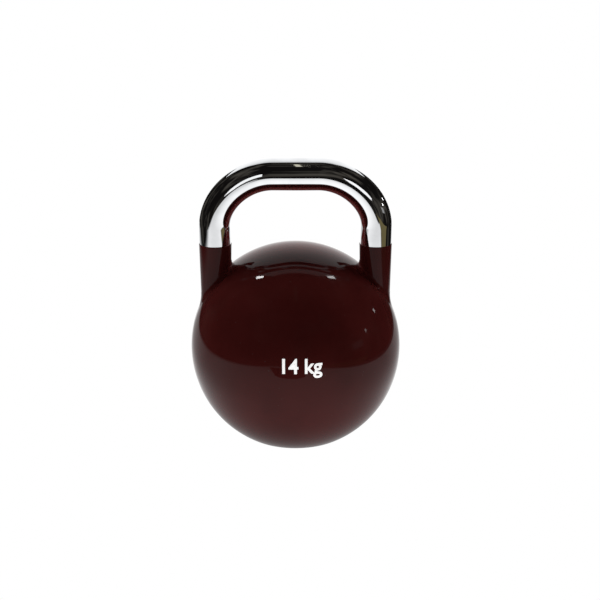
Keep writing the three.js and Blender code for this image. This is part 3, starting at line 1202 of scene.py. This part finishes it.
@dataclass
class WeightMark:
    """The weight, printed in white on the front of the ball."""

    ball: Ball
    text: str = "14 kg"
    width: float = 37.0 * MM
    tallness: float = 18.5 * MM
    boldness: float = 0.022
    centre_x: float = 6.1 * MM
    centre_z: float = 105 * MM
    film: float = 0.06 * MM
    grid: float = 1.0 * MM
    curve_steps: int = 10

    def build(self, paint: Material) -> None:
        """Makes the print: flat letters, cut into a fine grid and laid on the ball.

        Args:
            paint: The paint of the print.
        """
        bpy.ops.object.select_all(action="DESELECT")
        bpy.ops.object.text_add()
        mark = bpy.context.object
        mark.data.body = self.text
        mark.data.resolution_u = self.curve_steps
        mark.data.offset = self.boldness
        pick(mark)
        bpy.ops.object.convert(target="MESH")
        mark = bpy.context.object
        mark.name = "weight_mark"
        self.size_letters(mark)
        edit(mark, self.cut_grid)
        for vertex in mark.data.vertices:
            x, height = self.centre_x + vertex.co.x, self.centre_z + vertex.co.y
            reach = self.ball.radius + self.film
            inward = math.sqrt(reach**2 - x**2 - (height - self.ball.centre) ** 2)
            vertex.co = (x, -inward, height)
        self.thicken(mark)
        fit_out(mark, paint, "mark_paint")

    def size_letters(self, mark: Piece) -> None:
        """Centres the flat letters on the origin at their real size.

        Args:
            mark: The flat letters.
        """
        spots = [vertex.co for vertex in mark.data.vertices]
        low = Vector((min(p.x for p in spots), min(p.y for p in spots)))
        high = Vector((max(p.x for p in spots), max(p.y for p in spots)))
        span = high - low
        for vertex in mark.data.vertices:
            x = (vertex.co.x - low.x) / span.x - 0.5
            y = (vertex.co.y - low.y) / span.y - 0.5
            vertex.co = (x * self.width, y * self.tallness, 0)

    def cut_grid(self) -> None:
        """Splits the letters along lines one grid step apart, so that they can follow the ball."""
        for span, axis in ((self.width, Vector((1, 0, 0))), (self.tallness, Vector((0, 1, 0)))):
            for place in rows(-span / 2, span / 2, self.grid)[1:-1]:
                bpy.ops.mesh.select_all(action="SELECT")
                bpy.ops.mesh.bisect(plane_co=axis * place, plane_no=axis)
        tidy_normals()

    def thicken(self, mark: Piece) -> None:
        """Gives the film its thickness. Its sharp edge is the print's own step.

        Args:
            mark: The letters, laid on the ball.
        """

        def turn_over() -> None:
            """Turns every face round."""
            bpy.ops.mesh.select_all(action="SELECT")
            bpy.ops.mesh.flip_normals()

        facing_in = mark.data.polygons[0].normal.y > 0
        if facing_in:
            edit(mark, turn_over)
        modifier = mark.modifiers.new("film", "SOLIDIFY")
        modifier.thickness = 2 * self.film
        modifier.offset = -1
        pick(mark)
        bpy.ops.object.modifier_apply(modifier=modifier.name)
        smooth(mark)


# ---- Base and ballast ------------------------------------------------------------------------


@dataclass
class Base:
    """What closes the foot: plate, seal and the screw that pulls the post down."""

    screw_radius: float = 5 * MM
    clearance: float = 0.3 * MM
    head_round: float = 1.92 * MM
    head_height: float = 4 * MM
    socket_flats: float = 6 * MM
    socket_depth: float = 2.6 * MM
    thread_pitch: float = 1.5 * MM
    edge_round: float = 0.5 * MM
    seal_bulge: float = 0.45
    fine_steps: int = 8
    sides: int = 96

    def plate(self) -> Piece:
        """Builds the round plate, with softened edges and a countersunk hole.

        Returns:
            The plate.
        """
        low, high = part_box("base_plate")
        hole = self.screw_radius + self.clearance
        section = ring_section(hole, low, high, self.edge_round, self.edge_round)
        return turned("base_plate_turned", section, self.sides)

    def seal(self) -> Piece:
        """Builds the rubber ring under the screw's head, bulged where it is squeezed.

        Returns:
            The ring.
        """
        low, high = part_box("screw_seal")
        hole = self.screw_radius + self.clearance
        bulge = (high.z - low.z) * self.seal_bulge
        section = ring_section(hole, low, high, 0, bulge, steps=6)
        return turned("screw_seal_ring", section, self.sides)

    def screw(self) -> Piece:
        """Builds the button-head screw, with its thread and its hexagon socket.

        Returns:
            The screw.
        """
        low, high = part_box("base_screw")
        head_top = low.z + self.head_height
        thread_end = high.z - self.thread_pitch / 2
        shank = rows(head_top, thread_end, self.thread_pitch / THREAD_ROWS)
        tip = self.screw_radius - self.thread_pitch / 2
        head = [(0, low.z, 0), (high.x, low.z, self.head_round), (high.x, head_top, self.edge_round)]
        outline = [
            *rounded(head, self.fine_steps),
            *[(self.screw_radius, height) for height in shank],
            (tip, high.z),
            (0, high.z),
        ]
        screw = turned("base_screw_threaded", outline, self.sides)
        cut_thread(screw, self.screw_radius, self.thread_pitch, head_top + self.thread_pitch, thread_end)
        cut(screw, hexagon_bar(self.socket_flats, 2 * self.socket_depth, low.z))
        return screw

    def build(self, steel: Material, rubber: Material) -> None:
        """Makes the base's pieces and dresses them.

        Args:
            steel: The finish of the turned steel pieces.
            rubber: The finish of the rubber pieces.
        """
        fit_out(self.plate(), steel, "plain_steel", "base_plate")
        fit_out(self.screw(), steel, "plain_steel", "base_screw")
        fit_out(self.seal(), rubber, "seal_rubber", "screw_seal")


@dataclass
class Ballast:
    """What hides in the ball: spigots, backing ring, post, sleeve, discs, washers and nut."""

    ball: Ball
    post_radius: float = 12 * MM
    clearance: float = 0.3 * MM
    screw_hole: float = 5.3 * MM
    thread_pitch: float = 3 * MM
    sleeve_wall: float = 5 * MM
    ring_wall: float = 4 * MM
    nut_flats: float = 36 * MM
    nut_chamfer: float = 1.2 * math.tan(math.radians(30))
    nut_land: float = 0.97
    disc_edge: float = 1.5 * MM
    sleeve_edge: float = 0.5 * MM
    washer_edge: float = 0.8 * MM
    spigot_edge: float = 1 * MM
    strip_steps: int = 10
    disc_count: int = 4
    sides: int = 96

    def washer(self, name: str, node: str, hole: float, edge_round: float) -> Piece:
        """Builds a flat ring in a node's place.

        Args:
            name: The piece's name.
            node: The CAD node that gives its outer size and height.
            hole: Radius of its hole.
            edge_round: Fillet on its four edges.

        Returns:
            The ring.
        """
        low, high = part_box(node)
        return turned(name, ring_section(hole, low, high, edge_round, edge_round), self.sides)

    def spigot(self, side: Side) -> Piece:
        """Builds one dowel, chamfered at both ends.

        Args:
            side: Which of the two sides.

        Returns:
            The dowel.
        """
        low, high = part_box(f"{side.label}_spigot")
        radius, axis_x = (high.x - low.x) / 2, (high.x + low.x) / 2
        edge = self.spigot_edge
        corners = [(0, low.z, 0), (radius, low.z, edge), (radius, high.z, edge), (0, high.z, 0)]
        return turned(f"{side.label}_spigot_turned", rounded(corners), self.sides, axis_x)

    def backing_ring(self) -> Piece:
        """Builds the strip that backs the ball's weld, rolled to the shells' curve.

        Returns:
            The strip.
        """
        low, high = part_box("seam_backing_ring")
        radius, half = high.x, (high.z - low.z) / 2
        end = math.asin(half / radius)
        inner = radius - self.ring_wall
        outline = [
            (inner, self.ball.centre - half),
            *arc(radius, self.ball.centre, -end, end, self.strip_steps),
            (inner, self.ball.centre + half),
        ]
        return turned("seam_backing_strip", outline, self.sides)

    def post(self) -> Piece:
        """Builds the centre post, threaded for its nut and bored for the base screw.

        Returns:
            The post.
        """
        low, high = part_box("centre_post")
        _, screw_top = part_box("base_screw")
        nut_low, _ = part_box("lock_nut")
        bore_top = screw_top.z + self.clearance
        thread_low = nut_low.z - self.thread_pitch
        thread_high = high.z - self.thread_pitch / 3
        threaded = rows(thread_low, thread_high, self.thread_pitch / THREAD_ROWS)
        outline = [
            (0, bore_top),
            (self.screw_hole, bore_top),
            (self.screw_hole, low.z),
            (self.post_radius, low.z),
            *[(self.post_radius, height) for height in threaded],
            (self.post_radius - self.thread_pitch / 2, high.z),
            (0, high.z),
        ]
        post = turned("centre_post_threaded", outline, self.sides)
        cut_thread(post, self.post_radius, self.thread_pitch, thread_low, thread_high)
        return post

    def nut(self) -> Piece:
        """Builds the hexagon nut: a chamfered blank cut to six flats and bored.

        Returns:
            The nut.
        """
        low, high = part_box("lock_nut")
        corner = hexagon_corner(self.nut_flats)
        fall = (corner - self.nut_flats / 2) * self.nut_chamfer
        hole = self.post_radius + self.clearance
        across = self.nut_flats / 2 * self.nut_land
        corners = [
            (hole, low.z, 0),
            (across, low.z, 0),
            (corner, low.z + fall, 0),
            (corner, high.z - fall, 0),
            (across, high.z, 0),
            (hole, high.z, 0),
        ]
        nut = turned("lock_nut_chamfered", rounded(corners), self.sides)
        flats = hexagon_bar(self.nut_flats, 2 * (high.z - low.z), (low.z + high.z) / 2)
        cut(nut, flats, "INTERSECT")
        return nut

    def build(self, steel: Material, iron: Material, rubber: Material) -> None:
        """Makes the hidden pieces and dresses them.

        Args:
            steel: The finish of the turned steel pieces.
            iron: The finish of the discs.
            rubber: The finish of the rubber pieces.
        """
        on_post = self.post_radius + self.clearance
        _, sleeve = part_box("support_sleeve")
        for number in range(1, self.disc_count + 1):
            node = f"ballast_disc_{number}"
            disc = self.washer(f"{node}_cast", node, on_post, self.disc_edge)
            fit_out(disc, iron, "ballast_iron", node)
        fit_out(self.post(), steel, "plain_steel", "centre_post")
        fit_out(self.nut(), steel, "plain_steel", "lock_nut")
        fit_out(self.backing_ring(), steel, "plain_steel", "seam_backing_ring")
        in_tube = sleeve.x - self.sleeve_wall
        tube = self.washer("support_tube", "support_sleeve", in_tube, self.sleeve_edge)
        fit_out(tube, steel, "plain_steel", "support_sleeve")
        clamp = self.washer("clamp_washer_turned", "clamp_washer", on_post, self.washer_edge)
        fit_out(clamp, steel, "plain_steel", "clamp_washer")
        cushion = self.washer("rubber_washer_moulded", "rubber_washer", on_post, self.washer_edge)
        fit_out(cushion, rubber, "seal_rubber", "rubber_washer")
        for side in Side:
            piece = self.spigot(side)
            low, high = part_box(f"{side.label}_spigot")
            dowel = TurnedSteel(axis_x=(low.x + high.x) / 2).material()
            fit_out(piece, dowel, "plain_steel", f"{side.label}_spigot")


# ---- Studio ----------------------------------------------------------------------------------


def facing(azimuth: float, elevation: float) -> Vector:
    """The direction at an azimuth and an elevation.

    Args:
        azimuth: Degrees from the back of the room, growing to the right.
        elevation: Degrees above level.

    Returns:
        A unit vector.
    """
    rise = math.radians(elevation)
    turn = math.radians(azimuth)
    along = math.cos(rise)
    return Vector((math.sin(turn) * along, math.cos(turn) * along, math.sin(rise)))


@dataclass(frozen=True)
class Fade:
    """How a glowing card dims towards an edge: full at one place and least at another."""

    axis: str
    full: float
    least: float
    floor: float = 0.0


@dataclass(frozen=True)
class Glow:
    """A card's light: the side that its normal points to shines, and the other side is clear."""

    name: str
    light: float
    colour: Colour = (1.0, 1.0, 1.0)
    fades: tuple[Fade, ...] = ()

    def material(self) -> Material:
        """Builds the light.

        Returns:
            The finished material.
        """
        board = Board(self.name)
        board.tree.nodes.remove(board.shader)
        output = board.tree.nodes["Material Output"]
        emission = board.add("ShaderNodeEmission")
        board.feed(emission, Color=(*self.colour, 1.0), Strength=self.light)
        if self.fades:
            board.feed(emission, Strength=self.strength(board))
        mix = board.add("ShaderNodeMixShader")
        board.tree.links.new(board.add("ShaderNodeNewGeometry").outputs["Backfacing"], mix.inputs[0])
        board.tree.links.new(emission.outputs[0], mix.inputs[1])
        board.tree.links.new(board.add("ShaderNodeBsdfTransparent").outputs[0], mix.inputs[2])
        board.tree.links.new(mix.outputs[0], output.inputs["Surface"])
        return board.material

    def strength(self, board: Board) -> Socket:
        """The light's strength after all its fades.

        Args:
            board: The light's material.

        Returns:
            The strength.
        """
        place = board.feed(board.add("ShaderNodeSeparateXYZ"), Vector=board.place)
        strength = None
        for fade in self.fades:
            share = board.spread(place.outputs[fade.axis], fade.least, fade.full, fade.floor, 1.0)
            strength = share if strength is None else board.combine("MULTIPLY", strength, share)
        return board.combine("MULTIPLY", strength, self.light)


@dataclass(frozen=True)
class SheetGlow(Glow):
    """The white sheet's light, which dims to both sides behind the object and has a painted shadow under
    it.
    """

    # A painted shadow: how bright the sheet stays under the object, and the radii where that shade is full
    # and where it ends.
    under: float = 0.45
    painted_shadow_core: float = 0.06
    painted_shadow_edge: float = 0.17
    behind: float = 0.42
    side_start: float = 0.10
    side_end: float = 0.30
    back_start: float = -0.15
    back_end: float = 0.10

    def strength(self, board: Board) -> Socket:
        """The light's strength after the fades and the painted soft shadow around the object's foot.

        Args:
            board: The light's material.

        Returns:
            The strength.
        """
        reach = board.add("ShaderNodeVectorMath", operation="LENGTH")
        board.tree.links.new(board.place, reach.inputs[0])
        place = board.feed(board.add("ShaderNodeSeparateXYZ"), Vector=board.place)
        distance = reach.outputs["Value"]
        # Painted shadow: the sheet glows dimmer around the object's foot, where the object's shadow would
        # fall.
        painted_shadow_share = board.spread(distance, self.painted_shadow_core, self.painted_shadow_edge, self.under, 1.0)
        across = board.combine("ABSOLUTE", place.outputs["X"], 0.0)
        aside = board.spread(across, self.side_start, self.side_end, 0.0, self.behind)
        back = board.spread(place.outputs["Y"], self.back_start, self.back_end, 0.0, 1.0)
        # The absolute value turns "shade less one" into "one less shade".
        shade = board.combine("SUBTRACT", board.combine("MULTIPLY", aside, back), 1.0)
        bright = board.combine("MULTIPLY", board.combine("ABSOLUTE", shade, 0.0), painted_shadow_share)
        return board.combine("MULTIPLY", super().strength(board), bright)


@dataclass(frozen=True)
class Card:
    """A flat card by its corners, listed anticlockwise as seen from its bright side."""

    name: str
    corners: tuple[Vector, ...]
    glow: Glow

    def hang(self, camera: bool = False, diffuse: bool = True, slot: str = "") -> Piece:
        """Makes the card.

        Args:
            camera: Whether the camera sees it.
            diffuse: Whether it lights rough surfaces, as well as being mirrored.
            slot: The material slot whose pieces it shines on, or nothing for all.

        Returns:
            The card.
        """
        bpy.ops.object.select_all(action="DESELECT")
        bpy.ops.mesh.primitive_circle_add(vertices=len(self.corners), fill_type="NGON")
        card = bpy.context.object
        card.name = self.name
        for vertex, corner in zip(card.data.vertices, self.corners):
            vertex.co = corner
        card.data.materials.append(self.glow.material())
        card.visible_camera = camera
        card.visible_diffuse = diffuse
        card.visible_shadow = False
        if slot:
            card.light_linking.receiver_collection = lit_pieces(slot)
        return card


def lit_pieces(slot: str) -> bpy.types.Collection:
    """The collection of all the pieces that take their finish from a slot.

    Args:
        slot: The slot's name.

    Returns:
        The collection.
    """
    name = f"lit_{slot}"
    if name not in bpy.data.collections:
        collection = bpy.data.collections.new(name)
        for piece in DRESSED[slot]:
            collection.objects.link(piece)
    return bpy.data.collections[name]


def upright(name: str, glow: Glow, y: float, *corners: tuple[float, float]) -> Card:
    """A card in an upright plane that faces the object from the front, by its (x, z) corners."""
    return Card(name, tuple(Vector((x, y, z)) for x, z in corners), glow)


def level(name: str, glow: Glow, z: float, *corners: tuple[float, float]) -> Card:
    """A card in a level plane that faces up, by its (x, y) corners."""
    return Card(name, tuple(Vector((x, y, z)) for x, y in corners), glow)


@dataclass(frozen=True)
class Lamp:
    """A small lamp far away that faces the object.

    Its azimuth, elevation and size, as seen from the object, are in degrees.
    """

    name: str
    azimuth: float
    elevation: float
    size: tuple[float, float]
    light: float
    colour: Colour = (1.0, 1.0, 1.0)
    slot: str = ""
    distance: float = 6.0

    def hang(self) -> None:
        """Makes the lamp. It shines on all pieces, or on those of its slot."""
        outward = facing(self.azimuth, self.elevation)
        sideways = facing(self.azimuth + RIGHT_ANGLE, 0)
        width, height = (self.distance * math.radians(degrees) for degrees in self.size)
        across = sideways * width / 2
        along = sideways.cross(outward) * height / 2
        low, high = outward * self.distance - along, outward * self.distance + along
        glow = Glow(self.name, self.light, self.colour)
        card = Card(self.name, (low - across, low + across, high + across, high - across), glow)
        card.hang(diffuse=False, slot=self.slot)


@dataclass
class Studio:
    """A shooting table: a white sheet, a backdrop, lamps, and a dark room around them."""

    sheet_light: float = 1.15
    sheet_plan: Plan = (
        (-0.80, -1.60), (-0.12, -1.60), (-0.08, -0.95), (0.62, -0.95), (0.62, 0.90), (-0.80, 0.90))
    sheet_fades: tuple[Fade, ...] = (
        Fade("X", -0.55, -0.80), Fade("X", 0.47, 0.53, 0.1), Fade("Y", -0.15, -1.10, 0.66))
    floor_reach: float = 6.0
    lift: float = 1 * MM
    backdrop_y: float = 0.40
    backdrop_light: float = 1.12
    backdrop_half: Plan = ((0.26, 0), (0.26, 0.50), (0.64, 0.75), (0.64, 2.0))
    backdrop_fade: Fade = Fade("Z", 0.25, 2.0, 0.55)
    # Corners of a black card that darkens the sheet where the ball mirrors it, in front of the ball.
    dark_patch: tuple[Corner, ...] = (
        (0.005, -0.43, 0), (-0.095, -0.43, 0), (-0.12, -0.36, 0.0315),
        (-0.085, -0.22, 0.0945), (0.045, -0.22, 0.0945), (0.05, -0.36, 0.0315))
    bench_plan: Plan = ((0.53, -1.4), (1.1, -1.4), (1.1, -0.20), (0.60, -0.20), (0.53, -0.32))
    olive: Colour = (0.145, 0.120, 0.055)
    panel_y: float = -1.4
    panel_light: float = 1.15
    left_panel: Plan = (
        (-0.33, 0.16), (-0.60, 0.27), (-0.60, 0.44), (-0.46, 0.62), (-0.21, 0.745), (-0.15, 0.36))
    right_panel: Plan = (
        (0.525, 0.29), (0.40, 0.41), (0.44, 0.70), (0.65, 0.74), (0.81, 0.66), (0.975, 0.62),
        (1.06, 0.495), (0.85, 0.33))
    lamp_azimuth: float = 56.7
    lamp_elevation: float = 56.5
    lamp_size: tuple[float, float] = (3.0, 6.5)
    lamp_light: float = 50.0
    fill_distance: float = 1.5
    fill_size: float = 0.5
    fill_power: float = 9.0
    small_lamps: tuple[Lamp, ...] = (
        Lamp("speck_right", 66.7, 16.1, (2.5, 2.5), 8.0),
        Lamp("speck_side", 93.1, 13.9, (2.5, 2.5), 6.0),
        Lamp("window_side", 109, 7.5, (14, 6), 0.3),
        Lamp("ceiling_lamp", 178.7, 76.5, (0.8, 18), 0.6, (1.0, 0.94, 0.74)),
    )
    streak_scale: float = 3.2
    streak_detail: float = 3.0
    room_shades: tuple[tuple[float, Colour], ...] = (
        (0.48, (0.006, 0.0052, 0.005)), (0.72, (0.075, 0.068, 0.058)))
    camera_place: Corner = (0.0, -1.0115, 0.4768)
    camera_tilt: float = 18.58
    camera_pan: float = 0.25
    lens: float = 64.1
    sensor: float = 36.0

    def sheet(self) -> None:
        """Lays the white sheet, which shades off to its sides and its front, on a wide white floor."""
        glow = SheetGlow("white_sheet", self.sheet_light, fades=self.sheet_fades)
        level("sheet", glow, 0, *self.sheet_plan).hang()
        far = self.floor_reach
        corners = ((-far, -far), (far, -far), (far, far), (-far, far))
        floor = level("floor", Glow("page", 1.0), -self.lift, *corners)
        floor.hang(camera=True, diffuse=False).visible_glossy = False

    def backdrop(self) -> None:
        """Hangs the tall white backdrop behind the table, wider and dimmer towards its top."""
        glow = Glow("backdrop", self.backdrop_light, fades=(self.backdrop_fade,))
        left = [(-x, z) for x, z in self.backdrop_half]
        upright("backdrop", glow, self.backdrop_y, left[0], *self.backdrop_half, *left[:0:-1]).hang()

    def dark_things(self) -> None:
        """Stands a black card and the olive bench on the table: the ball mirrors the card as a dark patch
        on the sheet in front of it, and the chrome mirrors the bench.

        The card leans back over the sheet, so that the ball sees its black side and the bar, which
        looks down on it, sees through it.
        """
        corners = tuple(Vector(corner) for corner in self.dark_patch)
        Card("dark_patch_card", corners, Glow("black", 0.0)).hang(diffuse=False)
        level("bench", Glow("bench", 1.0, self.olive), self.lift, *self.bench_plan).hang()

    def panels(self) -> None:
        """Hangs the two white panels behind the camera that flash on the bar's shoulders."""
        white = Glow("panel", self.panel_light)
        for name, outline in (("panel_left", self.left_panel), ("panel_right", self.right_panel)):
            corners = tuple(Vector((x, self.panel_y, z)) for x, z in outline)
            turn = sum(a.cross(b).y for a, b in zip(corners, corners[1:] + corners[:1]))
            card = Card(name, corners if turn > 0 else corners[::-1], white)
            card.hang(diffuse=False, slot="handle_chrome")

    def lamps(self) -> None:
        """Hangs the small lamps, and beside the two main ones the soft light that they throw."""
        for side in Side:
            azimuth = side.value * self.lamp_azimuth
            light = self.lamp_light if side is Side.LEFT else self.lamp_light / 2
            name = f"lamp_{side.label}"
            Lamp(name, azimuth, self.lamp_elevation, self.lamp_size, light, slot="body_paint").hang()
            outward = facing(azimuth, self.lamp_elevation)
            bpy.ops.object.light_add(type="AREA", location=outward * self.fill_distance)
            fill = bpy.context.object
            fill.name = f"fill_{side.label}"
            fill.rotation_euler = outward.to_track_quat("Z", "Y").to_euler()
            fill.data.size = self.fill_size
            fill.data.energy = self.fill_power
            fill.visible_glossy = False
        for lamp in self.small_lamps:
            lamp.hang()

    def world(self) -> None:
        """White to the camera all round, and a dark, faintly streaked room to the object."""
        world = bpy.data.worlds.new("room")
        bpy.context.scene.world = world
        world.use_nodes = True
        nodes, links = world.node_tree.nodes, world.node_tree.links
        nodes.clear()
        output = nodes.new("ShaderNodeOutputWorld")
        mix = nodes.new("ShaderNodeMixShader")
        room = nodes.new("ShaderNodeBackground")
        streaks = nodes.new("ShaderNodeTexNoise")
        streaks.inputs["Scale"].default_value = self.streak_scale
        streaks.inputs["Detail"].default_value = self.streak_detail
        shades = nodes.new("ShaderNodeValToRGB")
        for stop, (position, shade) in zip(shades.color_ramp.elements, self.room_shades):
            stop.position = position
            stop.color = (*shade, 1)
        links.new(nodes.new("ShaderNodeTexCoord").outputs["Generated"], streaks.inputs["Vector"])
        links.new(streaks.outputs["Fac"], shades.inputs["Fac"])
        links.new(shades.outputs["Color"], room.inputs["Color"])
        page = nodes.new("ShaderNodeBackground")
        page.inputs["Color"].default_value = (1, 1, 1, 1)
        links.new(nodes.new("ShaderNodeLightPath").outputs["Is Camera Ray"], mix.inputs[0])
        links.new(room.outputs[0], mix.inputs[1])
        links.new(page.outputs[0], mix.inputs[2])
        links.new(mix.outputs[0], output.inputs[0])

    def camera(self) -> None:
        """Sets up the camera in front of the table."""
        bpy.ops.object.camera_add(location=self.camera_place)
        camera = bpy.context.object
        tilt = math.radians(RIGHT_ANGLE - self.camera_tilt)
        camera.rotation_euler = (tilt, 0, math.radians(-self.camera_pan))
        camera.data.sensor_width = self.sensor
        camera.data.lens = self.lens
        bpy.context.scene.camera = camera
        bpy.context.scene.view_settings.view_transform = "Standard"

    def build(self) -> None:
        """Sets up everything around the object."""
        self.sheet()
        self.backdrop()
        self.dark_things()
        self.panels()
        self.lamps()
        self.world()
        self.camera()


# ---- Assembly --------------------------------------------------------------------------------


def main() -> None:
    """Builds the kettlebell and its studio."""
    logging.basicConfig(level=logging.INFO, format="%(name)s: %(message)s")
    enamel = GlossEnamel().material()
    steel = TurnedSteel().material()
    rubber = SealRubber().material()
    ball = Ball.from_frame()
    ball.build(enamel)
    Handle.from_frame(ball).build(enamel, PolishedChrome().material())
    WeightMark(ball).build(MarkPaint().material())
    Base().build(steel, rubber)
    Ballast(ball).build(steel, CastIron().material(), rubber)
    Studio().build()


if __name__ == "__main__":
    main()
